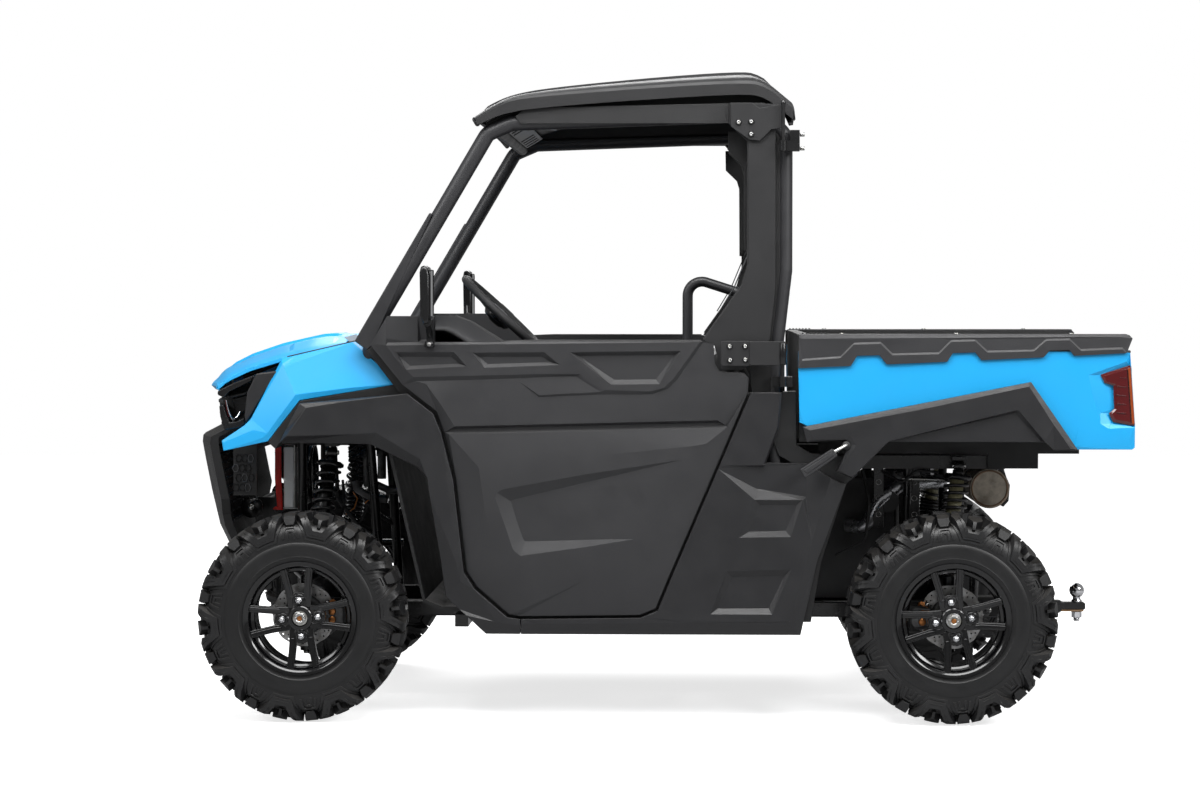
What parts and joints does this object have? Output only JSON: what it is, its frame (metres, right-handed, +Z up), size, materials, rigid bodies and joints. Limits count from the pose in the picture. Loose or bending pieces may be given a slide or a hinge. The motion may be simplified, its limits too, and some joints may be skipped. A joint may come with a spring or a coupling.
{
  "type": "side by side utility vehicle",
  "caption": "Side by side utility vehicle with bench seat, roll cage and roof, rear-hinged half doors, tilting dump bed with tailgate, and steered front wheels.",
  "frame": {"origin": "on the ground, at the middle of the vehicle's box", "axes": "+X forward, +Y to the vehicle's left, +Z up"},
  "size_m": [2.884, 1.68, 1.983],
  "materials": {
    "blue_body": "moulded-in azure blue plastic, glossy",
    "door_plastic": "grained charcoal plastic",
    "fender_plastic": "fine grained charcoal plastic",
    "roof_plastic": "satin black roof plastic",
    "dark_plastic": "black plastic",
    "frame_paint": "black powder coat",
    "cast_metal": "raw cast metal",
    "seat_cover": "black vinyl",
    "lamp_glass": "clear lamp lens",
    "lamp_red": "dark red lens",
    "radiator_metal": "bare aluminium fins",
    "shock_metal": "black springs on steel dampers",
    "axle_steel": "bare steel",
    "muffler_steel": "tan oxidised steel",
    "grip_rubber": "soft grip",
    "tyre": "black tyre rubber",
    "rim_black": "gloss black paint"
  },
  "bodies": {
    "chassis": {"frame": "frame_paint", "skid_plate": "dark_plastic", "engine_and_gearcases": "cast_metal", "roll_cage_sides": "frame_paint", "roll_cage_crossbars": "frame_paint", "roof": "roof_plastic", "cab_tub": "dark_plastic", "seat_base": "dark_plastic", "seat_cushion": "seat_cover", "seat_back": "seat_cover", "dash": "dark_plastic", "steering_column": "dark_plastic", "front_fascia": "fender_plastic", "headlamps": "lamp_glass", "front_bumper": "frame_paint", "radiator": "radiator_metal", "front_fenders": "blue_body", "front_flares": "fender_plastic", "rear_side_panels": "fender_plastic", "front_suspension_arms": "frame_paint", "rear_suspension_arms": "frame_paint", "shocks": "shock_metal", "half_shafts": "axle_steel", "rear_knuckles": "cast_metal", "muffler": "muffler_steel", "tow_hitch": "frame_paint", "door_hinges": "frame_paint"},
    "hood": {"hood": "blue_body"},
    "door_left": {"door_left": "door_plastic", "mirror_left": "dark_plastic"},
    "door_right": {"door_right": "door_plastic", "mirror_right": "dark_plastic"},
    "bed": {"bed_tub": "dark_plastic", "bed_sides": "blue_body", "rear_fenders": "fender_plastic", "tail_lamps": "lamp_red"},
    "tailgate": {"tailgate": "blue_body"},
    "knuckle_left": {"front_knuckle_left": "cast_metal"},
    "knuckle_right": {"front_knuckle_right": "cast_metal"},
    "steering_rack": {"steering_rack": "axle_steel"},
    "steering_wheel": {"steering_wheel": "grip_rubber"},
    "wheel_front_left": {"tyre_front_left": "tyre", "wheel_rim_front_left": "rim_black"},
    "wheel_front_right": {"tyre_front_right": "tyre", "wheel_rim_front_right": "rim_black"},
    "wheel_rear_left": {"tyre_rear_left": "tyre", "wheel_rim_rear_left": "rim_black"},
    "wheel_rear_right": {"tyre_rear_right": "tyre", "wheel_rim_rear_right": "rim_black"}
  },
  "joints": [
    {"name": "steer_left", "type": "hinge", "parent": "chassis", "child": "knuckle_left", "pos_m": [1.055, 0.6, 0.315], "axis": [0, 0, 1], "range_deg": [-30, 30]},
    {"name": "steer_right", "type": "hinge", "parent": "chassis", "child": "knuckle_right", "pos_m": [1.055, -0.6, 0.315], "axis": [0, 0, 1], "range_deg": [-30.1, 30.1]},
    {"name": "rack_slide", "type": "slide", "parent": "chassis", "child": "steering_rack", "axis": [0, 1, 0], "range_m": [-0.046, 0.046]},
    {"name": "steering_wheel_turn", "type": "hinge", "parent": "chassis", "child": "steering_wheel", "pos_m": [0.478, 0.35, 1.225], "axis": [-0.6822, 0, 0.7312], "range_deg": [-272, 272]},
    {"name": "wheel_front_left_spin", "type": "hinge", "parent": "knuckle_left", "child": "wheel_front_left", "pos_m": [1.055, 0.661, 0.315], "axis": [0, 1, 0], "continuous": true},
    {"name": "wheel_front_right_spin", "type": "hinge", "parent": "knuckle_right", "child": "wheel_front_right", "pos_m": [1.055, -0.661, 0.315], "axis": [0, 1, 0], "continuous": true},
    {"name": "wheel_rear_left_spin", "type": "hinge", "parent": "chassis", "child": "wheel_rear_left", "pos_m": [-0.889, 0.638, 0.315], "axis": [0, 1, 0], "continuous": true},
    {"name": "wheel_rear_right_spin", "type": "hinge", "parent": "chassis", "child": "wheel_rear_right", "pos_m": [-0.889, -0.638, 0.315], "axis": [0, 1, 0], "continuous": true},
    {"name": "door_left_hinge", "type": "hinge", "parent": "chassis", "child": "door_left", "pos_m": [-0.383, 0.706, 1], "axis": [0, 0, 1], "range_deg": [0, 75]},
    {"name": "door_right_hinge", "type": "hinge", "parent": "chassis", "child": "door_right", "pos_m": [-0.383, -0.706, 1], "axis": [0, 0, -1], "range_deg": [0, 75]},
    {"name": "hood_hinge", "type": "hinge", "parent": "chassis", "child": "hood", "pos_m": [0.968, 0, 1.112], "axis": [0, -1, 0], "range_deg": [0, 50]},
    {"name": "bed_tilt", "type": "hinge", "parent": "chassis", "child": "bed", "pos_m": [-1.049, 0, 0.764], "axis": [0, -1, 0], "range_deg": [0, 40]},
    {"name": "tailgate_hinge", "type": "hinge", "parent": "bed", "child": "tailgate", "pos_m": [-1.421, 0, 0.852], "axis": [0, -1, 0], "range_deg": [0, 90]}
  ],
  "couplings": [
    {"joint": "steer_right", "follows": "steer_left", "ratio": 1},
    {"joint": "rack_slide", "follows": "steer_left", "m_per_rad": -0.086},
    {"joint": "steering_wheel_turn", "follows": "steer_left", "ratio": 9}
  ]
}
